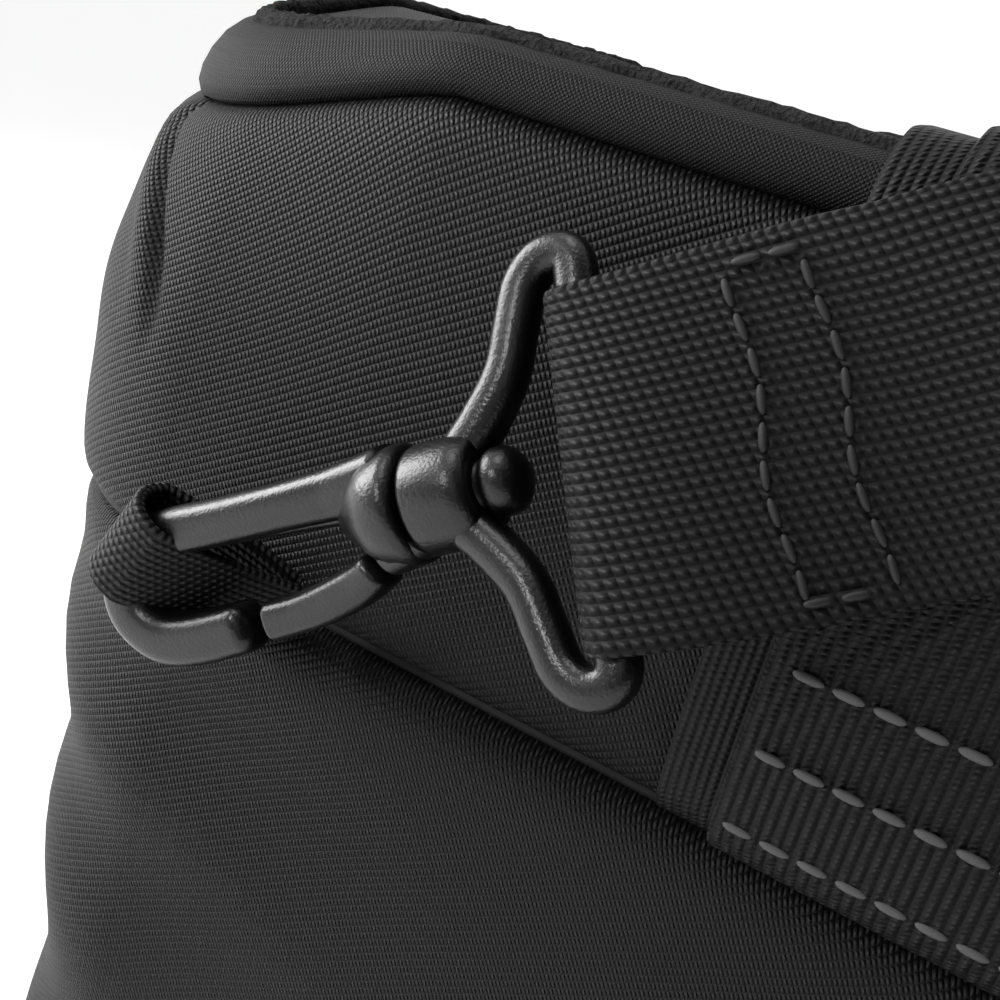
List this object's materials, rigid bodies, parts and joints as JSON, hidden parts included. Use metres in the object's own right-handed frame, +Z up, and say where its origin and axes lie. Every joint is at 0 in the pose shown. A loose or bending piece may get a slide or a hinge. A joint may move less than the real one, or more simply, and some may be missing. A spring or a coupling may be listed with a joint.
{
  "type": "telescope carry case",
  "caption": "Soft padded box case for a telescope, with a belt seam, zipped rear door, front pocket, top handle and clip-on shoulder strap.",
  "frame": {"origin": "centre of the footprint, on the surface that the base studs stand on", "axes": "+X along the case's long side, -Y is the front with the pocket, +Z up"},
  "size_m": [0.64, 0.277, 0.338],
  "materials": {
    "wall_nylon": "firm woven nylon, slight sheen",
    "soft_nylon": "softer woven nylon, slight sheen",
    "welt": "dull felted edge and seam tape",
    "webbing": "ribbed nylon webbing",
    "foam": "closed-cell foam",
    "lining": "thin woven lining",
    "board": "stiff sheet",
    "tape": "woven zip tape",
    "zip_coil": "moulded coil",
    "zip_metal": "black satin",
    "hook_plastic": "satin moulded, fine grain",
    "pad_cover": "padded knit cover",
    "stud_rubber": "moulded rubber"
  },
  "bodies": {
    "case": {"accessory_tray": "tape", "band_patch_left": "webbing", "band_patch_right": "webbing", "base_board": "board", "base_studs": "stud_rubber", "belt_welt": "welt", "bottom_fabric": "soft_nylon", "divider": "foam", "door_hinge_tape": "tape", "door_zip_coil": "zip_coil", "door_zip_tape": "tape", "foam_back_posts": "foam", "foam_back_rail": "foam", "foam_front": "foam", "foam_left": "foam", "foam_right": "foam", "foam_top": "foam", "front_pocket": "soft_nylon", "girth_band_left": "webbing", "girth_band_right": "webbing", "handle_foot_left": "webbing", "handle_foot_right": "webbing", "hold_down_strap_left": "webbing", "hold_down_strap_right": "webbing", "inner_lining": "lining", "lower_wall_fabric": "soft_nylon", "pad_keepers": "webbing", "pocket_zip_coil": "zip_coil", "saddle_left": "foam", "saddle_right": "foam", "shoulder_pad": "pad_cover", "strap_end_back": "webbing", "strap_end_front": "webbing", "strap_tab_back": "webbing", "strap_tab_front": "webbing", "strap_webbing": "webbing", "swivel_loop_back": "hook_plastic", "swivel_loop_front": "hook_plastic", "top_edge_felt": "welt", "top_panel_fabric": "wall_nylon", "top_seam_welt": "welt", "upper_wall_fabric": "wall_nylon"},
    "door": {"door_fabric": "soft_nylon", "door_foam": "foam", "door_lining": "lining"},
    "door_slider_left": {"door_slider_left": "zip_metal"},
    "door_pull_left": {"door_pull_left": "zip_metal"},
    "door_slider_right": {"door_slider_right": "zip_metal"},
    "door_pull_right": {"door_pull_right": "zip_metal"},
    "pocket_slider": {"pocket_slider": "zip_metal"},
    "pocket_pull": {"pocket_pull": "zip_metal"},
    "hook_front": {"snap_hook_front": "hook_plastic"},
    "gate_front": {"hook_gate_front": "hook_plastic"},
    "hook_back": {"snap_hook_back": "hook_plastic"},
    "gate_back": {"hook_gate_back": "hook_plastic"},
    "adjuster": {"strap_adjuster": "hook_plastic"},
    "handle": {"top_handle": "webbing", "handle_grip": "pad_cover"}
  },
  "joints": [
    {"name": "door_open", "type": "hinge", "parent": "case", "child": "door", "pos_m": [0, 0.1144, 0.016], "axis": [-1, 0, 0], "range_deg": [0, 90]},
    {"name": "door_zip_left", "type": "slide", "parent": "case", "child": "door_slider_left", "axis": [-1, 0, 0], "range_m": [0, 0.218]},
    {"name": "door_pull_swing_left", "type": "hinge", "parent": "door_slider_left", "child": "door_pull_left", "pos_m": [-0.012, 0.12035, 0.182], "axis": [1, 0, 0], "range_deg": [0, 165]},
    {"name": "door_zip_right", "type": "slide", "parent": "case", "child": "door_slider_right", "axis": [1, 0, 0], "range_m": [0, 0.218]},
    {"name": "door_pull_swing_right", "type": "hinge", "parent": "door_slider_right", "child": "door_pull_right", "pos_m": [0.012, 0.12035, 0.182], "axis": [1, 0, 0], "range_deg": [0, 165]},
    {"name": "pocket_zip", "type": "slide", "parent": "case", "child": "pocket_slider", "axis": [1, 0, 0], "range_m": [0, 0.3]},
    {"name": "pocket_pull_swing", "type": "hinge", "parent": "pocket_slider", "child": "pocket_pull", "pos_m": [-0.158, -0.1219, 0.16955], "axis": [-1, 0, 0], "range_deg": [0, 100]},
    {"name": "hook_swivel_front", "type": "hinge", "parent": "case", "child": "hook_front", "pos_m": [-0.236, -0.128, 0.225], "axis": [0.8241, 0, 0.5664], "range_deg": [-35, 35], "deforming": ["strap_tab_front"]},
    {"name": "gate_press_front", "type": "hinge", "parent": "hook_front", "child": "gate_front", "pos_m": [-0.24524, -0.128, 0.21161], "axis": [0, 1, 0], "range_deg": [0, 18], "stiffness_Nm_per_rad": 0.02, "springref_deg": -20.05},
    {"name": "hook_swivel_back", "type": "hinge", "parent": "case", "child": "hook_back", "pos_m": [0.236, 0.128, 0.225], "axis": [-0.8241, 0, 0.5664], "range_deg": [-35, 35], "deforming": ["strap_tab_back"]},
    {"name": "gate_press_back", "type": "hinge", "parent": "hook_back", "child": "gate_back", "pos_m": [0.24524, 0.128, 0.21161], "axis": [0, -1, 0], "range_deg": [0, 18], "stiffness_Nm_per_rad": 0.02, "springref_deg": -20.05},
    {"name": "adjuster_slide", "type": "slide", "parent": "case", "child": "adjuster", "axis": [0.8241, 0.5664, 0], "range_m": [-0.014, 0.012]},
    {"name": "handle_swing", "type": "hinge", "parent": "case", "child": "handle", "pos_m": [0, 0, 0.285], "axis": [1, 0, 0], "range_deg": [-40, 40], "deforming": ["handle_foot_left", "handle_foot_right"]}
  ]
}
